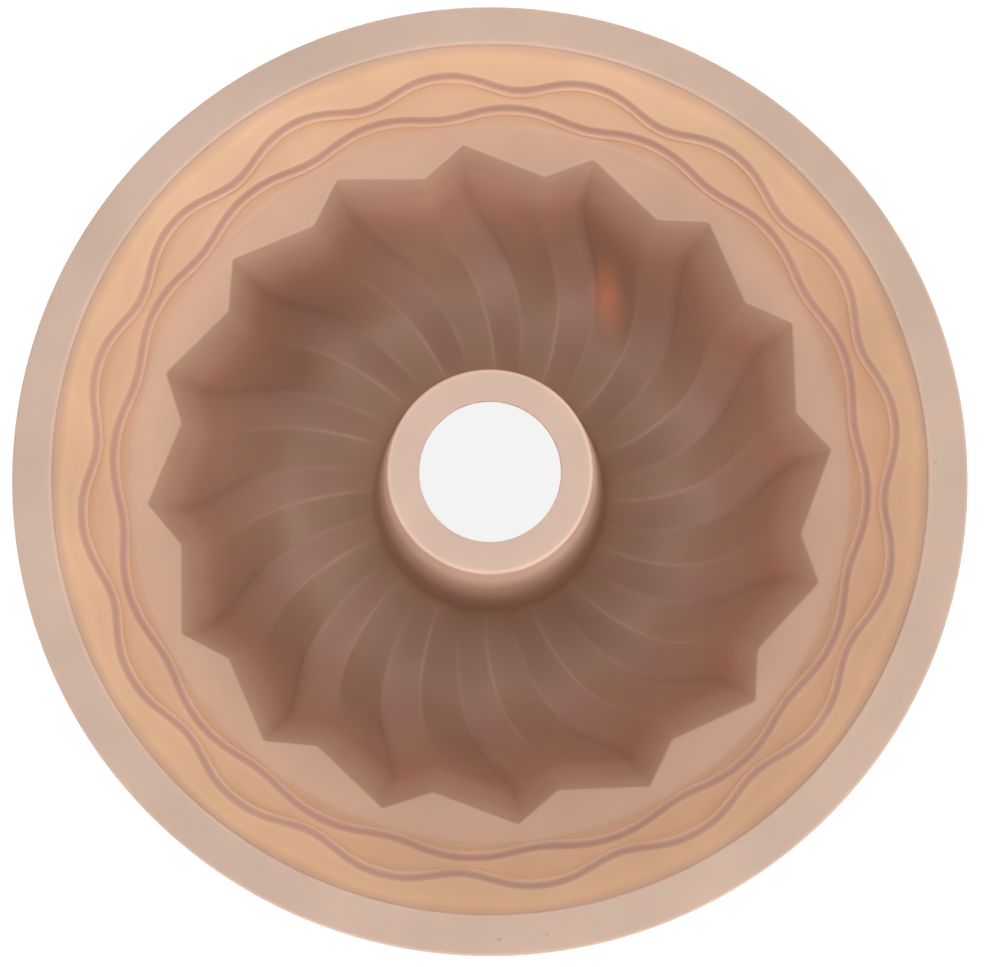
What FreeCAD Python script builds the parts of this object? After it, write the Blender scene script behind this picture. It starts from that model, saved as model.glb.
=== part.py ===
"""Swirled ring cake pan, moulded in one piece from soft silicone.

The pan stands on its fluted underside with the opening up. Sizes are in
millimetres and degrees. Depths are measured down from the top of the rim,
which is how the pan is read from above. The origin is on the axis at the
lowest point of the pan, with Z up.
"""
import FreeCAD, Part

import math
import os

import Sketcher

SIZES = {
    "rim_radius": 130.0,
    "rim_width": 10.8,
    "rim_thickness": 3.0,
    "rim_round": 1.0,
    "lip_height": 2.4,
    "wall": 1.8,
    "band_width": 16.7,
    "ledge_margin": 4.2,
    "ledge_depth": 22.5,
    "ledge_angle": 25.0,
    "ledge_round": 3.5,
    "flute_count": 16,
    "tip_angle": 4.6,
    "flute_depth": 7.5,
    "notch_lead": 7.63,
    "wall_draft": 20.0,
    "heel_rise": 20.0,
    "channel_share": 0.3143,
    "channel_depth": 86.0,
    "ridge_height": 5.0,
    "foot_rise": 12.0,
    "foot_inset": 3.0,
    "ridge_swirl": 14.4,
    "tube_depth": 10.8,
    "tube_radius": 28.7,
    "tube_draft": 7.1,
    "tube_plate": 2.6,
    "tube_round": 1.2,
    "hole_radius": 19.8,
    "rib_width": 4.0,
    "rib_height": 1.5,
    "wave_angle": 7.4,
    "upper_wave_depth": 11.24,
    "upper_wave_rise": 2.6,
    "lower_wave_depth": 18.94,
    "lower_wave_rise": 1.55,
    "overlap": 5.0,
}

# Cells worked out from the sizes above. Solids reach past each other by the overlap.
WORKED_OUT = {
    "height": "=channel_depth + wall",
    "lip_radius": "=rim_radius - rim_width",
    "ledge_radius": "=lip_radius - band_width",
    "tip_radius": "=ledge_radius - ledge_margin",
    "ledge_end": "=tip_radius - flute_depth - overlap",
    "band_slope": "=band_width / (ledge_depth - lip_height)",
    "tube_slope": "=tan(tube_draft)",
    "channel_foot": "=tube_radius + (channel_depth - tube_depth) * tube_slope",
    "channel_radius": "=channel_foot + channel_share * (tip_radius - channel_foot)",
    "top": "=0",
    "above_top": "=0 - overlap",
    "below_base": "=height + overlap",
    "tube_base_radius": "=tube_radius + (below_base - tube_depth) * tube_slope",
    "hollow_depth": "=tube_depth + tube_plate",
    "hollow_radius": "=tube_radius + tube_plate * tube_slope - wall",
    "hollow_base_radius": "=tube_base_radius - wall",
    "foot_depth": "=channel_depth - ridge_height - foot_rise",
    "foot_radius": "=tube_radius + (foot_depth - tube_depth) * tube_slope - foot_inset",
}

# The flutes swirl between these shares of their run from ledge to tube.
SWIRL_START = 0.14
SWIRL_END = 0.92
# The second harmonic that broadens the outward crests of a wave.
CREST_FLATTENING = 0.1
# Section of a rib: shares of its width across, and of its height up.
RIB_SECTION = ((-0.5, 0.0), (-0.27, 0.72), (0.0, 1.0), (0.27, 0.72), (0.5, 0.0))
# Points that shape one wave, the bend of a heel, of a foot and of the ledge.
POINTS_PER_WAVE = 8
HEEL_POINTS = 5
FOOT_POINTS = 4
LEDGE_POINTS = 3
# Edges are picked where they lie this close to their wanted place.
NEAR = 1e-4


def make_sheet(doc):
    """Write every driving dimension to its own named cell."""
    sheet = doc.addObject("Spreadsheet::Sheet", "Sizes")
    cells = {**SIZES, **WORKED_OUT}
    for row, (name, value) in enumerate(cells.items(), start=1):
        sheet.set(f"A{row}", name)
        sheet.set(f"B{row}", str(value))
        sheet.setAlias(f"B{row}", name)
    doc.recompute()
    return sheet


def origin_plane(body, role):
    """Find one of the origin planes of a body."""
    planes = [feature for feature in body.Origin.OriginFeatures if feature.Role == role]
    return planes[0]


def profile_sketch(body, name, corners):
    """Draw a closed outline whose corners follow the cells of their radius and depth.

    A corner without a radius lies on the axis.
    """
    sheet = body.Document.getObject("Sizes")
    sketch = body.newObject("Sketcher::SketchObject", name)
    sketch.AttachmentSupport = [(origin_plane(body, "XZ_Plane"), "")]
    sketch.MapMode = "FlatFace"
    points = []
    for radius, depth in corners:
        across = getattr(sheet, radius) if radius else 0.0
        points.append(FreeCAD.Vector(across, sheet.height - getattr(sheet, depth), 0))
    count = len(points)
    for index in range(count):
        sketch.addGeometry(Part.LineSegment(points[index], points[(index + 1) % count]), False)
    for index in range(count):
        following = (index + 1) % count
        sketch.addConstraint(Sketcher.Constraint("Coincident", index, 2, following, 1))
    for index, (radius, depth) in enumerate(corners):
        if radius:
            across = Sketcher.Constraint("DistanceX", -1, 1, index, 1, points[index].x)
            sketch.setExpression(f"Constraints[{sketch.addConstraint(across)}]", f"Sizes.{radius}")
        else:
            sketch.addConstraint(Sketcher.Constraint("PointOnObject", index, 1, -2))
        upright = Sketcher.Constraint("DistanceY", -1, 1, index, 1, points[index].y)
        level = f"Sizes.height - Sizes.{depth}"
        sketch.setExpression(f"Constraints[{sketch.addConstraint(upright)}]", level)
    return sketch


def turned_body(doc, name, corners):
    """Turn a closed outline about the pan's axis."""
    body = doc.addObject("PartDesign::Body", name)
    sketch = profile_sketch(body, name + "_outline", corners)
    turn = body.newObject("PartDesign::Revolution", name + "_turn")
    turn.Profile = sketch
    turn.ReferenceAxis = (sketch, ["V_Axis"])
    turn.Angle = 360.0
    doc.recompute()
    return body


def round_edges(body, name, radius, depths, size):
    """Round the circular edges of a body that lie at one radius and these depths."""
    doc = body.Document
    sheet = doc.getObject("Sizes")
    heights = [sheet.height - getattr(sheet, depth) for depth in depths]
    wanted = getattr(sheet, radius)
    base = body.Tip
    edges = []
    for number, edge in enumerate(base.Shape.Edges, start=1):
        curve = edge.Curve
        if not isinstance(curve, Part.Circle) or abs(curve.Radius - wanted) > NEAR:
            continue
        if any(abs(curve.Center.z - height) < NEAR for height in heights):
            edges.append(f"Edge{number}")
    fillet = body.newObject("PartDesign::Fillet", name)
    fillet.Base = (base, edges)
    fillet.setExpression("Radius", f"Sizes.{size}")
    doc.recompute()
    return body


def rim_ring(doc):
    """Flat thick rim with rounded edges."""
    corners = [
        ("lip_radius", "top"),
        ("rim_radius", "top"),
        ("rim_radius", "rim_thickness"),
        ("lip_radius", "rim_thickness"),
    ]
    body = turned_body(doc, "rim", corners)
    round_edges(body, "rim_outer_round", "rim_radius", ("top", "rim_thickness"), "rim_round")
    return round_edges(body, "rim_inner_round", "lip_radius", ("top",), "rim_round")


def tube_body(doc):
    """Conical centre tube with a flat top and a rounded edge."""
    corners = [
        (None, "tube_depth"),
        ("tube_radius", "tube_depth"),
        ("tube_base_radius", "below_base"),
        (None, "below_base"),
    ]
    body = turned_body(doc, "tube_outside", corners)
    return round_edges(body, "tube_edge_round", "tube_radius", ("tube_depth",), "tube_round")


def tube_hollow(doc):
    """Hole through the tube's flat top and the flared hollow under it."""
    corners = [
        (None, "above_top"),
        ("hole_radius", "above_top"),
        ("hole_radius", "hollow_depth"),
        ("hollow_radius", "hollow_depth"),
        ("hollow_base_radius", "below_base"),
        (None, "below_base"),
    ]
    return turned_body(doc, "tube_hollow", corners)


def around(shapes, count):
    """Repeat shapes evenly round the axis."""
    axis = FreeCAD.Vector(0, 0, 1)
    turned = []
    for index in range(count):
        for shape in shapes:
            copy = shape.copy()
            copy.rotate(FreeCAD.Vector(), axis, 360.0 * index / count)
            turned.append(copy)
    return turned


def solid_feature(doc, name, faces):
    """Close a set of faces that share their edges into one solid."""
    shell = Part.makeShell(faces)
    shell.sewShape()
    solid = Part.Solid(shell)
    if solid.Volume < 0:
        solid.reverse()
    feature = doc.addObject("Part::Feature", name)
    feature.Shape = solid
    return feature


def bend(start, corner, end, count):
    """Points of a smooth bend that leaves and meets its corner's two sides."""
    points = []
    for step in range(1, count + 1):
        along = step / count
        near = (1 - along) ** 2
        middle = 2 * along * (1 - along)
        far = along ** 2
        radius = near * start[0] + middle * corner[0] + far * end[0]
        depth = near * start[1] + middle * corner[1] + far * end[1]
        points.append((radius, depth))
    return points


def ledge_level(sheet, radius):
    """Depth of the ledge at a radius."""
    return sheet.ledge_depth + (sheet.ledge_radius - radius) * math.tan(math.radians(sheet.ledge_angle))


def flute_profile(sheet, top_radius, floor_depth):
    """Section of the bowl along a flute: wall, rounded heel, floor and foot."""
    top_depth = ledge_level(sheet, top_radius)
    draft = math.tan(math.radians(sheet.wall_draft))
    cap_depth = sheet.ledge_depth - sheet.overlap
    heel_depth = floor_depth - sheet.heel_rise

    def wall_point(depth):
        return (top_radius - (depth - top_depth) * draft, depth)

    floor_point = (sheet.channel_radius, floor_depth)
    tube_corner = (sheet.tube_radius + (floor_depth - sheet.tube_depth) * sheet.tube_slope, floor_depth)
    middle_depth = (top_depth + heel_depth) / 2
    points = [wall_point(depth) for depth in (cap_depth, top_depth, middle_depth, heel_depth)]
    points += bend(points[-1], wall_point(floor_depth), floor_point, HEEL_POINTS)
    points += bend(floor_point, tube_corner, (sheet.foot_radius, sheet.foot_depth), FOOT_POINTS)
    return points


def thicken(profile, thickness):
    """Move a section outwards by a wall thickness, square to its own run."""
    moved = []
    for index, (radius, depth) in enumerate(profile[:-1]):
        before = profile[max(index - 1, 0)]
        after = profile[index + 1]
        run = (after[0] - before[0], after[1] - before[1])
        length = math.hypot(*run)
        moved.append((radius + thickness * run[1] / length, depth - thickness * run[0] / length))
    foot_radius, foot_depth = profile[-1]
    moved.append((foot_radius - thickness, foot_depth))
    return moved


def swirl_shares(profile):
    """How far the swirl has gone at each point of a section, from 0 to 1."""
    steps = [math.dist(profile[at], profile[at + 1]) for at in range(len(profile) - 1)]
    run = sum(steps[1:])
    shares = []
    for index in range(len(profile)):
        gone = sum(steps[1:index]) / run
        share = min(max((gone - SWIRL_START) / (SWIRL_END - SWIRL_START), 0.0), 1.0)
        shares.append(share * share * (3 - 2 * share))
    return shares


def flute_line(height, places, start_angle, swirl):
    """One smooth line down a flute, swirling about the axis as it goes."""
    points = []
    for (radius, depth), share in places:
        angle = math.radians(start_angle - swirl * share)
        points.append(FreeCAD.Vector(radius * math.cos(angle), radius * math.sin(angle), height - depth))
    curve = Part.BSplineCurve()
    curve.interpolate(points)
    return curve.toShape()


def flute_places(sheet, top_radius, floor_depth, thickness):
    """Points of a flute's section on one skin of the wall, each with its swirl."""
    profile = flute_profile(sheet, top_radius, floor_depth)
    return list(zip(thicken(profile, thickness), swirl_shares(profile)))


def fluted_bowl(doc, name, thickness):
    """Bowl with swirled flutes: ruled walls between its valleys and ridges."""
    sheet = doc.getObject("Sizes")
    count = int(sheet.flute_count)
    pitch = 360.0 / count
    ridge_top = sheet.tip_radius - sheet.flute_depth
    ridge_floor = sheet.channel_depth - sheet.ridge_height
    valley = flute_places(sheet, sheet.tip_radius, sheet.channel_depth, thickness)
    ridge = flute_places(sheet, ridge_top, ridge_floor, thickness)
    valley_swirl = sheet.ridge_swirl + pitch / 2 - sheet.notch_lead
    lines = []
    for index in range(count):
        tip = sheet.tip_angle + pitch * index
        lines.append(flute_line(sheet.height, valley, tip, valley_swirl))
        lines.append(flute_line(sheet.height, ridge, tip + sheet.notch_lead, sheet.ridge_swirl))
    faces = [Part.makeRuledSurface(lines[at - 1], lines[at]) for at in range(len(lines))]
    for end in (0, 1):
        corners = [line.Vertexes[end].Point for line in lines]
        faces.append(Part.Face(Part.makePolygon(corners + corners[:1])))
    return solid_feature(doc, name, faces)


def band_point(sheet, slide, sink):
    """Radius and depth at a slide down the band from the lip, sunk into the wall."""
    slant = math.hypot(1.0, sheet.band_slope)
    radius = sheet.lip_radius + (sink - slide * sheet.band_slope) / slant
    depth = sheet.lip_height + (slide + sink * sheet.band_slope) / slant
    return (radius, depth)


def spoke_point(sheet, place, turn):
    """Point at a radius and a depth, part of a flute's pitch on from a wave's crest."""
    radius, depth = place
    angle = math.radians(sheet.wave_angle + turn * 360.0 / sheet.flute_count)
    return FreeCAD.Vector(radius * math.cos(angle), radius * math.sin(angle), sheet.height - depth)


def level_arc(sheet, place):
    """Arc over one pitch of the flutes, at a radius and a depth."""
    return Part.Arc(*[spoke_point(sheet, place, turn) for turn in (0, 0.5, 1)]).toShape()


def wave_arc(sheet, slide, rise, turned, level):
    """One wave of a line round the band at a level above its skin, straight on at both ends."""
    points = []
    for step in range(POINTS_PER_WAVE + 1):
        turn = step / POINTS_PER_WAVE
        phase = 2 * math.pi * turn
        sway = rise * (turned * math.cos(phase) - CREST_FLATTENING * math.cos(2 * phase))
        points.append(spoke_point(sheet, band_point(sheet, slide - sway, -level), turn))
    headings = [FreeCAD.Vector(-point.y, point.x, 0) for point in (points[0], points[-1])]
    curve = Part.BSplineCurve()
    curve.interpolate(Points=points, InitialTangent=headings[0], FinalTangent=headings[1])
    return curve.toShape()


def rib_lines(sheet, wave_depth, rise, turned):
    """Lines along one wavy rib that stands on the band's inner skin."""
    middle = (wave_depth - sheet.lip_height) * math.hypot(1.0, sheet.band_slope)
    lines = []
    for across, up in RIB_SECTION:
        slide = middle + across * sheet.rib_width
        lines.append(wave_arc(sheet, slide, rise, turned, up * sheet.rib_height))
    return lines


def ledge_places(sheet, sink):
    """Rounded turn from the band to the ledge, and the ledge's inner end."""
    slope = sheet.band_slope
    slant = math.hypot(1.0, slope)
    ledge = math.radians(sheet.ledge_angle)
    turn = math.tan((math.atan2(1.0, slope) - ledge) / 2)
    corner = band_point(sheet, (sheet.ledge_depth - sheet.lip_height) * slant - sink * turn, sink)
    reach = (sheet.ledge_round + sink) * turn
    start = (corner[0] + reach * slope / slant, corner[1] - reach / slant)
    end = (corner[0] - reach * math.cos(ledge), corner[1] + reach * math.sin(ledge))
    inner = (sheet.ledge_end, ledge_level(sheet, sheet.ledge_end) + sink / math.cos(ledge))
    return [start] + bend(start, corner, end, LEDGE_POINTS) + [inner]


def crown_solid(doc, name, sink, top_depth, ribs):
    """Flared band and ledge as a solid of ruled rings, around the lines of any ribs."""
    sheet = doc.getObject("Sizes")
    slant = math.hypot(1.0, sheet.band_slope)
    top_slide = (top_depth - sheet.lip_height) * slant - sink * sheet.band_slope
    lines = [level_arc(sheet, band_point(sheet, top_slide, sink))]
    lines += ribs
    lines += [level_arc(sheet, place) for place in ledge_places(sheet, sink)]
    count = int(sheet.flute_count)
    faces = []
    for upper, lower in zip(lines, lines[1:]):
        faces += around([Part.makeRuledSurface(upper, lower)], count)
    faces += [Part.Face(Part.Wire(around([line], count))) for line in (lines[0], lines[-1])]
    return solid_feature(doc, name, faces)


def joined(doc, name, parts):
    """Join solids into one."""
    feature = doc.addObject("Part::MultiFuse", name)
    feature.Shapes = parts
    doc.recompute()
    return feature


def cut(doc, name, base, tool):
    """Take one solid away from another."""
    feature = doc.addObject("Part::Cut", name)
    feature.Base = base
    feature.Tool = tool
    doc.recompute()
    return feature


def cake_pan(doc):
    """The whole pan: outer form less cavity and hollow, with its rim."""
    sheet = doc.getObject("Sizes")
    ribs = rib_lines(sheet, sheet.upper_wave_depth, sheet.upper_wave_rise, 1)
    ribs += rib_lines(sheet, sheet.lower_wave_depth, sheet.lower_wave_rise, -1)
    crown = crown_solid(doc, "crown_outside", sheet.wall, sheet.rim_thickness / 2, [])
    crown_cavity = crown_solid(doc, "crown_inside", 0.0, sheet.above_top, ribs)
    outside = joined(doc, "outside", [crown, fluted_bowl(doc, "bowl_outside", sheet.wall)])
    inside = joined(doc, "inside", [crown_cavity, fluted_bowl(doc, "bowl_inside", 0.0)])
    cavity = cut(doc, "cavity", inside, tube_body(doc))
    shell = cut(doc, "shell", outside, cavity)
    open_shell = cut(doc, "open_shell", shell, tube_hollow(doc))
    pan = joined(doc, "cake_pan", [open_shell, rim_ring(doc)])
    pan.Label = "cake_pan"
    return pan


def check_document(doc):
    """Stop if any object of the document failed."""
    for item in doc.Objects:
        failed = {"Invalid", "Error"} & set(item.State)
        if failed:
            raise RuntimeError(f"{item.Name}: {item.State}")


def check_shape(item):
    """Stop unless a sub-part is one valid solid."""
    shape = item.Shape
    if shape.isNull() or not shape.isValid() or len(shape.Solids) != 1:
        raise RuntimeError(f"{item.Label}: shape is not one valid solid")


def main():
    """Build the pan, check it and write it out."""
    os.makedirs("parts", exist_ok=True)
    doc = FreeCAD.newDocument("cake_pan")
    make_sheet(doc)
    pan = cake_pan(doc)
    doc.recompute()
    check_document(doc)
    check_shape(pan)
    pan.Shape.exportStep(f"parts/{pan.Label}.step")
    print(pan.Label, "volume", round(pan.Shape.Volume))


main()
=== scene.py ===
"""Looks of a swirled ring cake pan in soft silicone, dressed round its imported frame.

The pan is one moulding. It is turned ring by ring as one flute's slice, pressed
into its waves, ledge and flutes, and copied round the axis. Sizes are in
millimetres and degrees until a point is placed; depths are measured down from
the top of the rim.
"""

import logging
import math
from dataclasses import dataclass
from enum import Enum
from itertools import zip_longest

import bpy
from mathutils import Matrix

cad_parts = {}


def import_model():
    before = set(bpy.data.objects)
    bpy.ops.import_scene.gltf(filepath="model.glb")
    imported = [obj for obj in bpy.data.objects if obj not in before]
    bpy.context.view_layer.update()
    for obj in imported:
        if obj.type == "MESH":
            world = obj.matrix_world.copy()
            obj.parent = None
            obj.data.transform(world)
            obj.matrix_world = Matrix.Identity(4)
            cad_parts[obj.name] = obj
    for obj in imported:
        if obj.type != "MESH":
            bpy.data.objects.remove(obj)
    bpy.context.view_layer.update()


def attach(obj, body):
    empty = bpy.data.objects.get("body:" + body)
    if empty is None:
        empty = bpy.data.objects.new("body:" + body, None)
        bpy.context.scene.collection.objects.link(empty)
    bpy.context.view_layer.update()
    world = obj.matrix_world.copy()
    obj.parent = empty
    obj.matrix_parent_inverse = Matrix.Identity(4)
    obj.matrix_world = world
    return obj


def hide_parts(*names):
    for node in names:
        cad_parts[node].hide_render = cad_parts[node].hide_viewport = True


LOG = logging.getLogger("cake_pan")
MM = 0.001
MOST_OF_A_FACE = 0.45

Place = tuple[float, float]
Point = tuple[float, float, float]
Ring = list[Point]
Colour = tuple[float, float, float]
Tones = tuple[tuple[float, Colour], ...]
Span = tuple[float, float, float, float]
Tree = bpy.types.NodeTree
Socket = bpy.types.NodeSocket


class Skin(Enum):
    """Which face of the wall a ring lies on."""

    INSIDE = 0
    OUTSIDE = 1


def deselect_all() -> None:
    """Leave object mode's selection empty."""
    bpy.ops.object.select_all(action="DESELECT")


def clamped(share: float) -> float:
    """Share held between 0 and 1."""
    return min(max(share, 0.0), 1.0)


def mix(start: float, end: float, share: float) -> float:
    """Number that lies a share of the way from start to end."""
    return start + (end - start) * share


def mix_points(start: Point, end: Point, share: float) -> Point:
    """Point that lies a share of the way from start to end."""
    return tuple(mix(a, b, share) for a, b in zip(start, end))


def mix_rings(start: Ring, end: Ring, shares: tuple[float, ...]) -> list[Ring]:
    """Rings that lie shares of the way from start to end."""
    return [[mix_points(a, b, share) for a, b in zip(start, end)] for share in shares]


def towards(start: Point, end: Point, distance: float) -> Point:
    """Point at a distance from start on the way to end, short of its middle."""
    return mix_points(start, end, min(distance / math.dist(start, end), MOST_OF_A_FACE))


def bend_points(start: Point, corner: Point, end: Point, share: float) -> Point:
    """Point on the smooth bend that rounds a corner."""
    return mix_points(mix_points(start, corner, share), mix_points(corner, end, share), share)


def turned(point: Point, degrees: float) -> Point:
    """Turn a point about the pan's axis.

    Args:
        point: The point.
        degrees: Angle, anticlockwise from above.

    Returns:
        The turned point.
    """
    angle = math.radians(degrees)
    across, along, depth = point
    return (
        across * math.cos(angle) - along * math.sin(angle),
        across * math.sin(angle) + along * math.cos(angle),
        depth,
    )


def polar(radius: float, degrees: float, depth: float) -> Point:
    """Point at a radius, an angle and a depth."""
    angle = math.radians(degrees)
    return (radius * math.cos(angle), radius * math.sin(angle), depth)


def angle_of(point: Point) -> float:
    """Angle of a point about the axis, in degrees."""
    return math.degrees(math.atan2(point[1], point[0]))


def swell(where: float, span: Span) -> float:
    """Let a strength grow at the start of a span and fade at its end.

    Args:
        where: Place along the line.
        span: Places where it starts, is full, starts to fade and is gone.

    Returns:
        The strength, from 0 to 1.
    """
    grown = clamped((where - span[0]) / (span[1] - span[0]))
    left = clamped((span[3] - where) / (span[3] - span[2]))
    return min(grown, left)


@dataclass(frozen=True)
class PanSizes:
    """Sizes of the moulding, as in the frame, and of its small rounds."""

    rim_radius: float = 130.0
    rim_width: float = 10.8
    rim_thickness: float = 3.0
    rim_round: float = 1.0
    lip_height: float = 2.4
    wall: float = 1.8
    ledge_margin: float = 4.2
    ledge_depth: float = 22.5
    ledge_angle: float = 25.0
    ledge_round: float = 3.5
    flute_count: int = 16
    tip_radius: float = 98.3
    tip_angle: float = 4.6
    flute_depth: float = 7.5
    notch_lead: float = 7.63
    wall_draft: float = 20.0
    heel_rise: float = 20.0
    channel_radius: float = 57.0
    channel_depth: float = 86.0
    ridge_height: float = 5.0
    foot_rise: float = 12.0
    foot_inset: float = 3.0
    ridge_swirl: float = 14.4
    swirl_start: float = 0.14
    swirl_end: float = 0.92
    tube_depth: float = 10.8
    tube_radius: float = 28.7
    tube_draft: float = 7.1
    tube_plate: float = 2.6
    tube_round: float = 1.2
    hole_radius: float = 19.8
    hole_round: float = 0.35
    rib_width: float = 4.0
    rib_height: float = 1.5
    wave_angle: float = 7.4
    crest_flattening: float = 0.1
    upper_wave_depth: float = 11.24
    upper_wave_rise: float = 2.6
    lower_wave_depth: float = 18.94
    lower_wave_rise: float = 1.55
    star_round: float = 0.7
    wall_ridge_round: float = 1.7
    ridge_round: float = 0.9
    valley_round: float = 1.0
    foot_round: float = 2.4

    @property
    def pitch(self) -> float:
        """Angle from one flute to the next."""
        return 360.0 / self.flute_count

    @property
    def height(self) -> float:
        """Height of the pan."""
        return self.channel_depth + self.wall

    @property
    def lip_radius(self) -> float:
        """Inner radius of the rim."""
        return self.rim_radius - self.rim_width

    @property
    def ledge_radius(self) -> float:
        """Radius where the band meets the ledge."""
        return self.tip_radius + self.ledge_margin

    @property
    def band_slope(self) -> float:
        """How much the band narrows for each step down."""
        return (self.lip_radius - self.ledge_radius) / (self.ledge_depth - self.lip_height)

    @property
    def slant(self) -> float:
        """Length along the band for each step down."""
        return math.hypot(1.0, self.band_slope)

    @property
    def tube_slope(self) -> float:
        """How much the tube widens for each step down."""
        return math.tan(math.radians(self.tube_draft))

    def ledge_level(self, radius: float) -> float:
        """Depth of the ledge at a radius."""
        slope = math.tan(math.radians(self.ledge_angle))
        return self.ledge_depth + (self.ledge_radius - radius) * slope

    def tube_at(self, depth: float) -> float:
        """Radius of the tube's outside at a depth."""
        return self.tube_radius + (depth - self.tube_depth) * self.tube_slope

    def band_point(self, slide: float, sink: float) -> Place:
        """Radius and depth at a slide down the band from the lip.

        Args:
            slide: Distance along the band from the lip.
            sink: Distance into the wall from its inner skin.

        Returns:
            The radius and the depth.
        """
        radius = self.lip_radius + (sink - slide * self.band_slope) / self.slant
        depth = self.lip_height + (slide + sink * self.band_slope) / self.slant
        return (radius, depth)


class FluteSection:
    """Section of the bowl along a valley or a ridge of its flutes."""

    WALL_STEPS = 12
    HEEL_STEPS = 16
    FOOT_STEPS = 14

    def __init__(self, sizes: PanSizes, top_radius: float, floor_depth: float) -> None:
        """Lay out the section.

        Args:
            sizes: Sizes of the moulding.
            top_radius: Radius of the line at the ledge.
            floor_depth: Depth of the line on the floor.
        """
        self.sizes = sizes
        self.top_radius = top_radius
        self.floor_depth = floor_depth
        self.places = self._places()
        self.shares = self._swirl_shares()

    def _places(self) -> list[Place]:
        """Find the section's outline.

        Returns:
            Places down the wall, round the heel, over the floor and up the foot.
        """
        sizes = self.sizes
        top_depth = sizes.ledge_level(self.top_radius)
        draft = math.tan(math.radians(sizes.wall_draft))
        heel_depth = self.floor_depth - sizes.heel_rise

        def on_wall(depth: float) -> Point:
            """Point of the straight wall at a depth."""
            return (self.top_radius - (depth - top_depth) * draft, depth, 0.0)

        heel = on_wall(heel_depth)
        heel_corner = on_wall(self.floor_depth)
        floor = (sizes.channel_radius, self.floor_depth, 0.0)
        corner = (sizes.tube_at(self.floor_depth), self.floor_depth, 0.0)
        foot_depth = sizes.channel_depth - sizes.ridge_height - sizes.foot_rise
        foot = (sizes.tube_at(foot_depth) - sizes.foot_inset, foot_depth, 0.0)
        points = [
            on_wall(mix(top_depth, heel_depth, step / self.WALL_STEPS))
            for step in range(self.WALL_STEPS)
        ]
        for step in range(self.HEEL_STEPS):
            points.append(bend_points(heel, heel_corner, floor, step / self.HEEL_STEPS))
        for step in range(self.FOOT_STEPS + 1):
            points.append(bend_points(floor, corner, foot, step / self.FOOT_STEPS))
        return [(radius, depth) for radius, depth, _ in points]

    def _swirl_shares(self) -> list[float]:
        """Find how far the swirl has gone, slow at first and at the end.

        Returns:
            A share from 0 to 1 for each place.
        """
        steps = [math.dist(a, b) for a, b in zip(self.places, self.places[1:])]
        run = sum(steps)
        span = self.sizes.swirl_end - self.sizes.swirl_start
        shares = []
        for index in range(len(self.places)):
            share = clamped((sum(steps[:index]) / run - self.sizes.swirl_start) / span)
            shares.append(share * share * (3 - 2 * share))
        return shares

    def line(self, start_angle: float, swirl: float, thickness: float) -> Ring:
        """Points down the line on one skin.

        Args:
            start_angle: Angle of the line at the ledge.
            swirl: Angle by which it turns clockwise on the way.
            thickness: Distance of the skin from the inner one.

        Returns:
            The points, from the ledge to the tube.
        """
        points = []
        last = len(self.places) - 1
        for index, (radius, depth) in enumerate(self.places):
            before = self.places[max(index - 1, 0)]
            after = self.places[min(index + 1, last)]
            run = (after[0] - before[0], after[1] - before[1])
            length = math.hypot(*run)
            wide = radius + thickness * run[1] / length
            low = depth - thickness * run[0] / length
            points.append(polar(wide, start_angle - swirl * self.shares[index], low))
        return points


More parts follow.
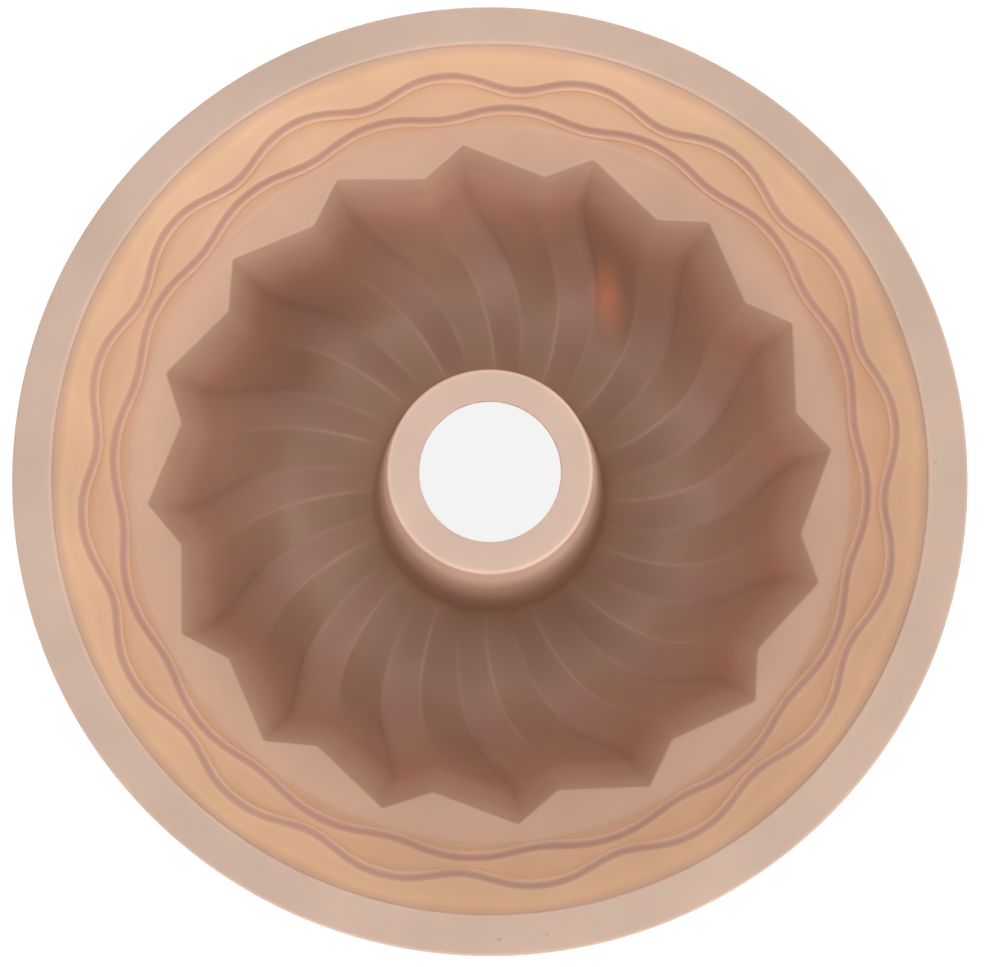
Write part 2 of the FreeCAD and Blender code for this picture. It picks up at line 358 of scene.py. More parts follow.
class PanShape:
    """Rings of one flute's slice, from the rim round both skins and back."""

    HALF_BEND = (0.5, 0.75, 1.0)
    FULL_BEND = (0.0, 0.25, 0.5, 0.75, 1.0)
    # Painted light across each rib of the band, ring by ring: painted shade on its upper flank and
    # below it, a painted highlight on its crest, and a painted pinkish sheen over it.
    RIB_PAINTED_SHADE_AND_HIGHLIGHT = (-0.1, -0.6, -0.9, -1.0, -0.8, -0.1, 0.6, 0.45, -0.35, -0.45, -0.1)
    RIB_PAINTED_SHEEN = (0.0, 0.5, 1.0, 1.0, 1.0, 1.0, 1.0, 1.0, 0.8, 0.4, 0.0)
    # On the band the first ring is lightened, a painted highlight that paints out the shade under
    # the lip.
    BAND_PAINTED_SHADE_AND_HIGHLIGHT = (0.25, 0.0, *RIB_PAINTED_SHADE_AND_HIGHLIGHT, 0.0, 0.0, *RIB_PAINTED_SHADE_AND_HIGHLIGHT)
    BAND_PAINTED_SHEEN = (0.0, 0.0, *RIB_PAINTED_SHEEN, 0.0, 0.0, *RIB_PAINTED_SHEEN)
    # Painted highlights on the rim's rounded inner and outer corners, and a painted lightening of
    # the shade at the lip.
    RIM_PAINTED_HIGHLIGHTS = (0.3, 0.3, 0.3, 0.5, 0.8, 0.5, 0.1, 0.0, 0.0, 0.0, 0.3, 0.6, 0.4)
    # Painted highlight on the rounded outer edge of the tube's top.
    TUBE_PAINTED_HIGHLIGHT = (0.0, 0.0, 0.0, 0.0, 0.0, 0.0, 0.3, 1.0, 0.9, 0.1)
    # Painted highlight along the star's edge.
    STAR_PAINTED_HIGHLIGHT = (0.0, 0.0, 0.0, 0.0, 0.2, 0.3, 0.1)
    # How far the turn into the flutes takes the bowl's painted shade.
    STAR_BOWL_SHADE = (0.0, 0.0, 0.0, 0.0, 0.1, 0.4, 0.8, 1.0)
    # Painted highlight along the flutes' ridges, painted shade in their valleys, and a painted
    # pinkish sheen in strips on the short faces, each over a share of the way down.
    RIDGE_PAINTED_HIGHLIGHT = 0.5
    RIDGE_HIGHLIGHT_SPAN = (0.2, 0.5, 0.8, 0.97)
    VALLEY_PAINTED_SHADE = -0.35
    VALLEY_SHADE_SPAN = (0.0, 0.1, 0.4, 0.6)
    SHEEN_STRIP_SPAN = (0.25, 0.45, 0.8, 1.0)
    RIDGE_HIGHLIGHT_COLUMNS = ((-1, 0.6), (0, 1.0), (1, 0.6))
    VALLEY_SHADE_COLUMNS = ((0, 1.0), (1, 1.0), (2, 0.7), (-3, 0.7), (-2, 1.0), (-1, 1.0))
    THIRDS = (0.33, 0.67)
    LEDGE_SHARES = (0.3, 0.6, 0.8)
    RIM_SHARES = (0.35, 0.65)
    TUBE_SHARES = (0.75, 0.5, 0.3, 0.15, 0.05)
    HOLLOW_SHARES = (0.1, 0.3, 0.55)
    PLAIN_STEPS = 7
    STAR_STEPS = 5
    SOFT_STEPS = 15
    SHORT_FACE = 4
    LONG_FACE = 8
    RIB_SECTION = (
        (-0.5, 0.0), (-0.44, 0.07), (-0.35, 0.36), (-0.25, 0.7), (-0.13, 0.93), (0.0, 1.0),
        (0.13, 0.93), (0.25, 0.7), (0.35, 0.36), (0.44, 0.07), (0.5, 0.0),
    )

    def __init__(self, sizes: PanSizes) -> None:
        """Lay out the flutes' lines.

        Args:
            sizes: Sizes of the moulding.
        """
        self.sizes = sizes
        self.valley = FluteSection(sizes, sizes.tip_radius, sizes.channel_depth)
        ridge_top = sizes.tip_radius - sizes.flute_depth
        self.ridge = FluteSection(sizes, ridge_top, sizes.channel_depth - sizes.ridge_height)
        self.valley_swirl = sizes.ridge_swirl + sizes.pitch / 2 - sizes.notch_lead
        self.rings: list[Ring] = []
        self.painted_lights: list[list[Point]] = []
        self._lay_out()

    def columns(self, valley: Point, ridge: Point, rounds: tuple[float, float]) -> Ring:
        """Points across one flute at one step down, rounded at ridge and valleys.

        Args:
            valley: Point in the valley where the slice starts.
            ridge: Point on the ridge in the slice's middle.
            rounds: Reach of the rounding at a valley and at a ridge.

        Returns:
            The points, from the middle of one valley to that of the next.
        """
        pitch = self.sizes.pitch
        ridge_before = turned(ridge, -pitch)
        next_valley = turned(valley, pitch)
        leave = towards(valley, ridge, rounds[0])
        points = [
            bend_points(towards(valley, ridge_before, rounds[0]), valley, leave, share)
            for share in self.HALF_BEND
        ]
        climb = towards(ridge, valley, rounds[1])
        for step in range(1, self.SHORT_FACE + 1):
            points.append(mix_points(leave, climb, step / (self.SHORT_FACE + 1)))
        fall = towards(ridge, next_valley, rounds[1])
        points += [bend_points(climb, ridge, fall, share) for share in self.FULL_BEND]
        arrive = towards(next_valley, ridge, rounds[0])
        for step in range(1, self.LONG_FACE + 1):
            points.append(mix_points(fall, arrive, step / (self.LONG_FACE + 1)))
        onward = towards(next_valley, turned(ridge, pitch), rounds[0])
        points += [
            bend_points(onward, next_valley, arrive, share)
            for share in reversed(self.HALF_BEND)
        ]
        return points

    def flute_rings(self, skin: Skin) -> list[Ring]:
        """Lay rings down the flutes, until they meet the tube's wall.

        Args:
            skin: The face of the wall.

        Returns:
            The rings, from the star's edge to the tube.
        """
        sizes = self.sizes
        thickness = sizes.wall * skin.value
        start = sizes.tip_angle
        valleys = self.valley.line(start, self.valley_swirl, thickness)
        ridges = self.ridge.line(start + sizes.notch_lead, sizes.ridge_swirl, thickness)
        rings = []
        for index, (valley, ridge) in enumerate(zip(valleys, ridges)):
            below_star = clamped(index / self.STAR_STEPS)
            to_heel = clamped((index - self.STAR_STEPS) / self.SOFT_STEPS)
            on_wall = mix(sizes.star_round, sizes.wall_ridge_round, below_star)
            rounds = (
                mix(sizes.star_round, sizes.valley_round, below_star),
                mix(on_wall, sizes.ridge_round, to_heel),
            )
            rings.append(self.columns(valley, ridge, rounds))
        return self._trimmed(rings, thickness)

    def _trimmed(self, rings: list[Ring], inset: float) -> list[Ring]:
        """End every column where it meets the tube.

        Args:
            rings: Rings that run on into the tube.
            inset: Distance of the skin from the inner one.

        Returns:
            As many rings, the last one on the tube.
        """
        sizes = self.sizes
        last = len(rings) - 1
        columns = []
        for column in zip(*rings):
            gaps = [math.hypot(x, y) - sizes.tube_at(depth) + inset for x, y, depth in column]
            end = float(last)
            for index in range(1, last + 1):
                if gaps[index] < 0 <= gaps[index - 1]:
                    end = index - 1 + gaps[index - 1] / (gaps[index - 1] - gaps[index])
                    break
            columns.append([self._along(column, end * step / last) for step in range(last + 1)])
        return [list(ring) for ring in zip(*columns)]

    @staticmethod
    def _along(column: tuple[Point, ...], where: float) -> Point:
        """Point of a column at a whole or part step."""
        index = min(int(where), len(column) - 2)
        return mix_points(column[index], column[index + 1], where - index)

    def level(self, place: Place, angles: list[float]) -> Ring:
        """Ring of one radius and depth over the slice's columns."""
        return [polar(place[0], angle, place[1]) for angle in angles]

    def wave_rings(
        self, depth: float, rise: float, phase: int, angles: list[float]
    ) -> list[Ring]:
        """Lay rings across one wavy rib.

        Args:
            depth: Depth of the rib's middle line.
            rise: How far the line sways along the band.
            phase: 1 where it sways up at the wave's angle, -1 where it sways down.
            angles: Angles of the columns.

        Returns:
            The rings, from the rib's upper edge to its lower one.
        """
        sizes = self.sizes
        middle = (depth - sizes.lip_height) * sizes.slant
        rings = []
        for across, up in self.RIB_SECTION:
            ring = []
            for angle in angles:
                turn = 2 * math.pi * (angle - sizes.wave_angle) / sizes.pitch
                flattening = sizes.crest_flattening * math.cos(2 * turn)
                sway = rise * (phase * math.cos(turn) - flattening)
                slide = middle - sway + across * sizes.rib_width
                radius, level = sizes.band_point(slide, -up * sizes.rib_height)
                ring.append(polar(radius, angle, level))
            rings.append(ring)
        return rings

    def band_rings(self, skin: Skin, angles: list[float]) -> list[Ring]:
        """Lay rings down the band, with its two ribs inside, and round the turn to the ledge.

        Args:
            skin: The face of the wall.
            angles: Angles of the columns.

        Returns:
            The rings, from below the lip to the ledge.
        """
        sizes = self.sizes
        sink = sizes.wall * skin.value
        ledge = math.radians(sizes.ledge_angle)
        turn = math.tan((math.atan2(1.0, sizes.band_slope) - ledge) / 2)
        corner_slide = (sizes.ledge_depth - sizes.lip_height) * sizes.slant - sink * turn
        corner = (*sizes.band_point(corner_slide, sink), 0.0)
        reach = (sizes.ledge_round + sink) * turn
        start = (*sizes.band_point(corner_slide - reach, sink), 0.0)
        end = (corner[0] - reach * math.cos(ledge), corner[1] + reach * math.sin(ledge), 0.0)
        turns = [bend_points(start, corner, end, share)[:2] for share in self.FULL_BEND]
        ledge_turn = [self.level(place, angles) for place in turns]
        if skin is Skin.OUTSIDE:
            slides = [corner_slide * step / self.PLAIN_STEPS for step in range(1, self.PLAIN_STEPS)]
            plain = [self.level(sizes.band_point(slide, sink), angles) for slide in slides]
            return plain + ledge_turn
        upper = self.wave_rings(sizes.upper_wave_depth, sizes.upper_wave_rise, 1, angles)
        lower = self.wave_rings(sizes.lower_wave_depth, sizes.lower_wave_rise, -1, angles)
        top = self.level((sizes.lip_radius, sizes.lip_height), angles)
        above = mix_rings(top, upper[0], self.THIRDS)
        between = mix_rings(upper[-1], lower[0], self.THIRDS)
        return above + upper + between + lower + ledge_turn

    def round_rings(self, before: Ring, corner: Ring, after: Ring, reach: float) -> list[Ring]:
        """Lay rings round a sharp one.

        Args:
            before: Ring on one side of it.
            corner: The sharp ring.
            after: Ring on its other side.
            reach: How far the rounding goes to either side.

        Returns:
            The rings, from the side of the ring before.
        """
        start = [towards(b, a, reach) for a, b in zip(before, corner)]
        end = [towards(b, a, reach) for a, b in zip(after, corner)]
        return [
            [bend_points(a, b, c, share) for a, b, c in zip(start, corner, end)]
            for share in self.FULL_BEND
        ]

    def ledge_rings(self, outer: Ring, star: Ring, below: Ring) -> list[Ring]:
        """Lay rings over the ledge and round the edge of its star.

        Args:
            outer: Ring where the ledge starts.
            star: Ring of the star's sharp edge.
            below: Ring on the flutes' walls, just under the edge.

        Returns:
            The rings between the two, ending on the wall.
        """
        ledge = mix_rings(outer, star, self.LEDGE_SHARES)
        return ledge + self.round_rings(outer, star, below, self.sizes.star_round)

    def tube_rings(self, angles: list[float]) -> list[Ring]:
        """Lay rings up the tube, over its flat top, down its hole and on inside.

        Args:
            angles: Angles of the columns.

        Returns:
            The rings, from the foot to the lower end of the hollow.
        """
        sizes = self.sizes
        places: list[Place] = []
        for share in self.TUBE_SHARES:
            depth = mix(sizes.tube_depth, sizes.channel_depth, share)
            places.append((sizes.tube_at(depth), depth))
        edge = sizes.tube_round
        places += self.rounded(
            (sizes.tube_at(sizes.tube_depth + edge), sizes.tube_depth + edge),
            (sizes.tube_radius, sizes.tube_depth),
            (sizes.tube_radius - edge, sizes.tube_depth),
        )
        places.append((mix(sizes.tube_radius, sizes.hole_radius, 0.5), sizes.tube_depth))
        small = sizes.hole_round
        places += self.rounded(
            (sizes.hole_radius + small, sizes.tube_depth),
            (sizes.hole_radius, sizes.tube_depth),
            (sizes.hole_radius, sizes.tube_depth + small),
        )
        under = sizes.tube_depth + sizes.tube_plate
        places += self.rounded(
            (sizes.hole_radius, under - small),
            (sizes.hole_radius, under),
            (sizes.hole_radius + small, under),
        )
        inner = sizes.tube_at(under) - sizes.wall
        places += self.rounded((inner - edge, under), (inner, under), (inner, under + edge))
        for share in self.HOLLOW_SHARES:
            depth = mix(sizes.tube_depth, sizes.channel_depth, share)
            places.append((sizes.tube_at(depth) - sizes.wall, depth))
        return [self.level(place, angles) for place in places]

    def rim_rings(self, angles: list[float]) -> list[Ring]:
        """Lay rings up the lip, over the rim, round its outer edge and back under it.

        Args:
            angles: Angles of the columns.

        Returns:
            The rings, from the lip's foot inside to the band outside.
        """
        sizes = self.sizes
        small = sizes.rim_round
        inner, outer, thick = sizes.lip_radius, sizes.rim_radius, sizes.rim_thickness
        slide = (thick - sizes.lip_height) * sizes.slant - sizes.wall * sizes.band_slope
        under = sizes.band_point(slide, sizes.wall)
        half_way = mix(small, sizes.lip_height, 0.5)
        places: list[Place] = [(inner, sizes.lip_height), (inner, half_way)]
        places += self.rounded((inner, small), (inner, 0.0), (inner + small, 0.0))
        places += [(mix(inner, outer, share), 0.0) for share in self.RIM_SHARES]
        places += self.rounded((outer - small, 0.0), (outer, 0.0), (outer, small))
        places += self.rounded((outer, thick - small), (outer, thick), (outer - small, thick))
        places += [(mix(outer, under[0], 0.5), thick), under]
        return [self.level(place, angles) for place in places]

    def rounded(self, start: Place, corner: Place, end: Place) -> list[Place]:
        """Places round a corner of a turned outline."""
        three = [(*place, 0.0) for place in (start, corner, end)]
        return [bend_points(*three, share)[:2] for share in self.FULL_BEND]

    def stack(
        self,
        rings: list[Ring],
        tones: tuple[float, ...] = (),
        painted_sheen: tuple[float, ...] = (),
        bowl: tuple[float, ...] = (),
        backwards: bool = False,
    ) -> None:
        """Add rings to the slice, each with its painted light. What runs out goes on as zero.

        Args:
            rings: Rings in their own order.
            tones: Painted highlight above zero and painted shade below.
            painted_sheen: How much painted pinkish sheen each ring has, from 0 to 1.
            bowl: How far each ring has the bowl's painted shade, from 0 to 1.
            backwards: Whether they are added last ring first.
        """
        painted_lights = list(zip_longest(tones, painted_sheen, bowl, fillvalue=0.0))[:len(rings)]
        marked = list(zip_longest(rings, painted_lights, fillvalue=(0.0, 0.0, 0.0)))
        for ring, painted_light in reversed(marked) if backwards else marked:
            self.rings.append(ring)
            self.painted_lights.append([painted_light] * len(ring))

    def stack_flutes(self, rings: list[Ring], backwards: bool) -> None:
        """Add the flutes' rings, with painted highlights on the ridges, painted shade in the
        valleys and a painted pinkish sheen on the short faces of the floor.

        Args:
            rings: Rings in their own order.
            backwards: Whether they are added last ring first.
        """
        climb = len(self.HALF_BEND) + self.SHORT_FACE
        crest = climb + len(self.FULL_BEND) // 2
        last = len(rings) - 1
        order = range(last, -1, -1) if backwards else range(last + 1)
        for index in order:
            tones = [0.0] * len(rings[index])
            # Painted highlight on the ridge's crest, painted shade in the valleys, painted pinkish
            # sheen on the short face; every column takes the bowl's painted shade.
            for aside, share in self.RIDGE_HIGHLIGHT_COLUMNS:
                tone = self.RIDGE_PAINTED_HIGHLIGHT * share * swell(index / last, self.RIDGE_HIGHLIGHT_SPAN)
                tones[crest + aside] = tone
            for column, share in self.VALLEY_SHADE_COLUMNS:
                tones[column] = self.VALLEY_PAINTED_SHADE * share * swell(index / last, self.VALLEY_SHADE_SPAN)
            painted_sheen = [0.0] * len(rings[index])
            for column in range(1, crest + 1):
                painted_sheen[column] = swell(index / last, self.SHEEN_STRIP_SPAN)
            self.rings.append(rings[index])
            self.painted_lights.append([(tone, pink_sheen, 1.0) for tone, pink_sheen in zip(tones, painted_sheen)])

    def _lay_out(self) -> None:
        """Stack all rings, from the lip over the rim, down outside and up inside."""
        inside = self.flute_rings(Skin.INSIDE)
        outside = self.flute_rings(Skin.OUTSIDE)
        star = [angle_of(point) for point in inside[0]]
        foot = [angle_of(point) for point in inside[-1]]
        self.stack(self.rim_rings(star), self.RIM_PAINTED_HIGHLIGHTS)
        band_outside = self.band_rings(Skin.OUTSIDE, star)
        self.stack(band_outside)
        self.stack(self.ledge_rings(band_outside[-1], outside[0], outside[1]), bowl=self.STAR_BOWL_SHADE)
        self.stack_flutes(outside[2:], backwards=False)
        tube = self.tube_rings(foot)
        self.stack(tube, self.TUBE_PAINTED_HIGHLIGHT, backwards=True)
        reach = self.sizes.foot_round
        foot_turn = self.round_rings(inside[-3], inside[-1], tube[0], reach)
        # The foot's turn takes the bowl's painted shade in full.
        self.stack(foot_turn, bowl=(1.0,) * len(foot_turn), backwards=True)
        self.stack_flutes(inside[2:-2], backwards=True)
        band_inside = self.band_rings(Skin.INSIDE, star)
        ledge_inside = self.ledge_rings(band_inside[-1], inside[0], inside[1])
        self.stack(ledge_inside, self.STAR_PAINTED_HIGHLIGHT, bowl=self.STAR_BOWL_SHADE, backwards=True)
        self.stack(band_inside, self.BAND_PAINTED_SHADE_AND_HIGHLIGHT, self.BAND_PAINTED_SHEEN, backwards=True)


class CakePan:
    """The moulded pan: one closed shell, turned, pressed and copied round."""

    NAME = "cake_pan_shell"
    # Per-vertex attribute of painted light: painted highlight and shade, painted sheen, and share
    # of the bowl's painted shade.
    PAINTED_LIGHT_ATTRIBUTE = "painted_light"
    MERGE = 2e-6
    SMOOTH_ANGLE = 50.0

    def __init__(self, sizes: PanSizes) -> None:
        """Lay out the pan's rings.

        Args:
            sizes: Sizes of the moulding.
        """
        self.sizes = sizes
        shape = PanShape(sizes)
        self.rings = shape.rings + shape.rings[:1]
        self.painted_lights = shape.painted_lights + shape.painted_lights[:1]

    def build(self) -> bpy.types.Object:
        """Model the pan.

        Returns:
            The pan as one object at the origin.
        """
        slice_mesh = self._turn_slice()
        self._press(slice_mesh)
        self._copy_round()
        return slice_mesh

    def _turn_slice(self) -> bpy.types.Object:
        """Turn one flute's slice as a plain band of rings.

        Returns:
            The slice. Its rings lie a millimetre apart.
        """
        count = (len(self.rings[0]) - 1) * self.sizes.flute_count
        deselect_all()
        bpy.ops.mesh.primitive_circle_add(
            vertices=count,
            radius=self.sizes.rim_radius * MM,
            fill_type="NOTHING",
        )
        pan = bpy.context.object
        pan.name = self.NAME
        pan.data.name = self.NAME
        step = 360.0 / count
        bpy.ops.object.mode_set(mode="EDIT")
        bpy.ops.mesh.select_mode(type="VERT")
        bpy.ops.mesh.select_all(action="DESELECT")
        bpy.ops.object.mode_set(mode="OBJECT")
        for vertex in pan.data.vertices:
            turn = angle_of((vertex.co.x, vertex.co.y, 0.0)) % 360.0
            vertex.select = step / 2 + self.sizes.pitch < turn < 360.0 - step / 2
        bpy.ops.object.mode_set(mode="EDIT")
        bpy.ops.mesh.delete(type="VERT")
        bpy.ops.mesh.select_all(action="SELECT")
        for _ in range(len(self.rings) - 1):
            bpy.ops.mesh.extrude_region_move(TRANSFORM_OT_translate={"value": (0.0, 0.0, -MM)})
        bpy.ops.object.mode_set(mode="OBJECT")
        return pan

    def _press(self, pan: bpy.types.Object) -> None:
        """Move each vertex of the plain slice to its place on the moulding.

        Args:
            pan: The plain slice. Its rings lie a millimetre apart.
        """
        step = self.sizes.pitch / (len(self.rings[0]) - 1)
        # Each vertex gets its painted highlight and shade, painted sheen and bowl shade share.
        painted_lights = pan.data.attributes.new(self.PAINTED_LIGHT_ATTRIBUTE, "FLOAT_VECTOR", "POINT").data
        for vertex in pan.data.vertices:
            ring = round(-vertex.co.z / MM)
            turn = (angle_of((vertex.co.x, vertex.co.y, 0.0)) + step / 2) % 360.0
            column = int(turn / step)
            across, along, depth = self.rings[ring][column]
            vertex.co = (across * MM, along * MM, (self.sizes.height - depth) * MM)
            painted_lights[vertex.index].vector = self.painted_lights[ring][column]

    def _copy_round(self) -> None:
        """Copy the slice round the axis and close the shell."""
        count = self.sizes.flute_count
        bpy.ops.object.mode_set(mode="EDIT")
        bpy.ops.mesh.select_all(action="SELECT")
        bpy.ops.mesh.spin(
            steps=count - 1,
            dupli=True,
            angle=math.radians(360.0 - self.sizes.pitch),
            center=(0.0, 0.0, 0.0),
            axis=(0.0, 0.0, 1.0),
        )
        bpy.ops.mesh.select_all(action="SELECT")
        bpy.ops.mesh.remove_doubles(threshold=self.MERGE)
        bpy.ops.mesh.normals_make_consistent(inside=False)
        bpy.ops.object.mode_set(mode="OBJECT")
        bpy.ops.object.shade_smooth_by_angle(angle=math.radians(self.SMOOTH_ANGLE))


@dataclass(frozen=True)
class Spot:
    """Soft patch of another tint, in metres."""

    centre: Point
    reach: Point
    tint: Colour


@dataclass(frozen=True)
class SiliconeFinish:
    """Soft, slightly see-through moulded silicone in dusty mocha.

    Its colour by height is partly painted light: a painted glow of light through
    the thin, pale band, and painted shade that darkens the bowl deep down.
    """

    name: str = "silicone"
    # The rim's own colour at the top, with a painted glow of light through the thin band below it.
    shell_colour_and_painted_glow: Tones = (
        (0.0600, (0.605, 0.390, 0.272)),
        (0.0645, (0.670, 0.430, 0.296)),
        (0.0690, (0.775, 0.480, 0.296)),
        (0.0830, (0.825, 0.530, 0.318)),
        (0.0855, (0.740, 0.505, 0.370)),
        (0.0868, (0.650, 0.460, 0.360)),
    )
    # Painted shade: darker and redder deeper down the bowl.
    bowl_painted_shade: Tones = (
        (0.000, (0.485, 0.300, 0.216)),
        (0.020, (0.480, 0.295, 0.212)),
        (0.040, (0.465, 0.254, 0.172)),
        (0.052, (0.510, 0.302, 0.210)),
        (0.062, (0.560, 0.356, 0.255)),
    )
    # Painted light and shade on the tube: lighter towards its top, painted shade at its foot.
    tube_painted_light_and_shade: Tones = (
        (0.000, (0.485, 0.300, 0.212)),
        (0.030, (0.400, 0.235, 0.175)),
        (0.050, (0.520, 0.330, 0.250)),
        (0.068, (0.740, 0.530, 0.420)),
        (0.076, (0.726, 0.511, 0.408)),
    )
    tube_edge: float = 0.0375
    tube_blend: float = 0.004
    top: float = 0.0878
    roughness: float = 0.46
    glow_weight: float = 0.8
    glow_reach: Colour = (1.0, 0.45, 0.25)
    glow_scale: float = 0.0022
    mottle_scale: float = 38.0
    mottle_detail: float = 2.0
    mottle_low: float = 0.3
    mottle_high: float = 0.7
    mottle: float = 0.05
    # Tints of the painted marks: painted shade, none, painted highlight on edges and crests, and a
    # painted pinkish sheen.
    painted_shade_tint: Colour = (0.66, 0.60, 0.67)
    plain: Colour = (1.0, 1.0, 1.0)
    edge: Colour = (1.22, 1.22, 1.22)
    pink_sheen: Colour = (1.03, 1.01, 1.10)
    painted_glow_sheen_and_specks: tuple[Spot, ...] = (
        # Painted glow of light through the wall, at two places on the bowl.
        Spot((0.0360, 0.0660, 0.020), (0.0065, 0.0110, 0.024), (1.50, 1.26, 1.10)),
        Spot((0.0385, 0.0590, 0.016), (0.0070, 0.0110, 0.022), (1.45, 1.24, 1.12)),
        # Painted sheen of reflected light on the floor.
        Spot((-0.0490, 0.0470, 0.010), (0.0150, 0.0110, 0.020), (1.08, 1.10, 1.14)),
        # Three darker specks on the rim.
        Spot((0.0024, -0.1255, 0.0878), (0.0011, 0.0007, 0.002), (0.80, 0.76, 0.74)),
        Spot((0.0150, -0.1242, 0.0878), (0.0009, 0.0007, 0.002), (0.84, 0.80, 0.78)),
        Spot((0.1212, 0.0010, 0.0878), (0.0007, 0.0009, 0.002), (0.84, 0.80, 0.78)),
    )
    spot_core: float = 0.2
    grain_scale: float = 2400.0
    grain_detail: float = 0.0
    grain_strength: float = 0.35
    grain_depth: float = 0.00002

    def build(self) -> bpy.types.Material:
        """Make the node material.

        Returns:
            The material, patterned on object coordinates.
        """
        material = bpy.data.materials.new(self.name)
        material.use_nodes = True
        tree = material.node_tree
        shader = tree.nodes["Principled BSDF"]
        shader.subsurface_method = "BURLEY"
        shader.inputs["Roughness"].default_value = self.roughness
        shader.inputs["Subsurface Weight"].default_value = self.glow_weight
        shader.inputs["Subsurface Radius"].default_value = self.glow_reach
        shader.inputs["Subsurface Scale"].default_value = self.glow_scale
        place = tree.nodes.new("ShaderNodeTexCoord").outputs["Object"]
        marks = tree.nodes.new("ShaderNodeAttribute")
        marks.attribute_name = CakePan.PAINTED_LIGHT_ATTRIBUTE
        painted_light = tree.nodes.new("ShaderNodeSeparateXYZ")
        tree.links.new(marks.outputs["Vector"], painted_light.inputs[0])
        colour = self._with_painted_highlight_shade_and_sheen(tree, painted_light, self._mottled(tree, place, self._coloured_and_painted_by_height(tree, place, painted_light)))
        tree.links.new(self._paint_glow_sheen_and_specks(tree, place, colour), shader.inputs["Base Color"])
        tree.links.new(self._grain(tree, place), shader.inputs["Normal"])
        return material

    def _coloured_and_painted_by_height(self, tree: Tree, place: Socket, painted_light: bpy.types.Node) -> Socket:
        """Colour by height, apart on the tube, in the bowl and on the band, with a painted glow in
        the band and painted shade in the bowl and down the tube.

        Args:
            tree: Nodes of the material.
            place: Object coordinates.
            painted_light: Painted highlight and shade, painted sheen and bowl shade share, split.

        Returns:
            The colour.
        """
        split = tree.nodes.new("ShaderNodeSeparateXYZ")
        tree.links.new(place, split.inputs[0])
        level = tree.nodes.new("ShaderNodeMath")
        level.operation = "DIVIDE"
        level.inputs[1].default_value = self.top
        tree.links.new(split.outputs["Z"], level.inputs[0])
        flat = tree.nodes.new("ShaderNodeCombineXYZ")
        tree.links.new(split.outputs["X"], flat.inputs["X"])
        tree.links.new(split.outputs["Y"], flat.inputs["Y"])
        radius = tree.nodes.new("ShaderNodeVectorMath")
        radius.operation = "LENGTH"
        tree.links.new(flat.outputs[0], radius.inputs[0])
        share = tree.nodes.new("ShaderNodeMapRange")
        share.interpolation_type = "SMOOTHSTEP"
        share.inputs["From Min"].default_value = self.tube_edge
        share.inputs["From Max"].default_value = self.tube_edge + self.tube_blend
        tree.links.new(radius.outputs["Value"], share.inputs["Value"])
        blend = tree.nodes.new("ShaderNodeMix")
        blend.data_type = "RGBA"
        tree.links.new(share.outputs["Result"], blend.inputs["Factor"])
        # Mix in the bowl's painted shade as far as each vertex's share says.
        bowl = tree.nodes.new("ShaderNodeMix")
        bowl.data_type = "RGBA"
        tree.links.new(painted_light.outputs["Z"], bowl.inputs["Factor"])
        tree.links.new(self._ramp(tree, self.shell_colour_and_painted_glow, level.outputs[0]), bowl.inputs["A"])
        tree.links.new(self._ramp(tree, self.bowl_painted_shade, level.outputs[0]), bowl.inputs["B"])
        tree.links.new(self._ramp(tree, self.tube_painted_light_and_shade, level.outputs[0]), blend.inputs["A"])
        tree.links.new(bowl.outputs["Result"], blend.inputs["B"])
        return blend.outputs["Result"]

    def _ramp(self, tree: Tree, tones: Tones, level: Socket) -> Socket:
        """Lay colours from the base of the pan to its top.

        Args:
            tree: Nodes of the material.
            tones: Heights in metres with their colours.
            level: Height as a share of the pan's.

        Returns:
            The colour.
        """
        ramp = tree.nodes.new("ShaderNodeValToRGB")
        ramp.color_ramp.interpolation = "EASE"
        marks = ramp.color_ramp.elements
        while len(marks) < len(tones):
            marks.new(0.5)
        for mark, (height, colour) in zip(marks, tones):
            mark.position = height / self.top
            mark.color = (*colour, 1.0)
        tree.links.new(level, ramp.inputs["Fac"])
        return ramp.outputs["Color"]

    def _mottled(self, tree: Tree, place: Socket, colour: Socket) -> Socket:
        """Give a colour the faint, cloudy change that pigment has in silicone.

        Args:
            tree: Nodes of the material.
            place: Object coordinates.
            colour: The even colour.

        Returns:
            The clouded colour.
        """
        cloud = tree.nodes.new("ShaderNodeTexNoise")
        cloud.inputs["Scale"].default_value = self.mottle_scale
        cloud.inputs["Detail"].default_value = self.mottle_detail
        tree.links.new(place, cloud.inputs["Vector"])
        span = tree.nodes.new("ShaderNodeMapRange")
        span.inputs["From Min"].default_value = self.mottle_low
        span.inputs["From Max"].default_value = self.mottle_high
        span.inputs["To Min"].default_value = 1.0 - self.mottle
        span.inputs["To Max"].default_value = 1.0 + self.mottle
        tree.links.new(cloud.outputs["Fac"], span.inputs["Value"])
        scale = tree.nodes.new("ShaderNodeVectorMath")
        scale.operation = "SCALE"
        tree.links.new(colour, scale.inputs[0])
        tree.links.new(span.outputs["Result"], scale.inputs["Scale"])
        return scale.outputs["Vector"]

    def _with_painted_highlight_shade_and_sheen(self, tree: Tree, painted_light: bpy.types.Node, colour: Socket) -> Socket:
        """Paint highlights on edges and crests, painted shade on the thick ribs and in the valleys,
        and a painted pinkish sheen.

        Args:
            tree: Nodes of the material.
            painted_light: Painted highlight and shade, painted sheen and bowl shade share, split.
            colour: The colour away from them.

        Returns:
            The changed colour.
        """
        span = tree.nodes.new("ShaderNodeMapRange")
        span.inputs["From Min"].default_value = -1.0
        tree.links.new(painted_light.outputs["X"], span.inputs["Value"])
        ramp = tree.nodes.new("ShaderNodeValToRGB")
        marks = ramp.color_ramp.elements
        marks.new(0.5)
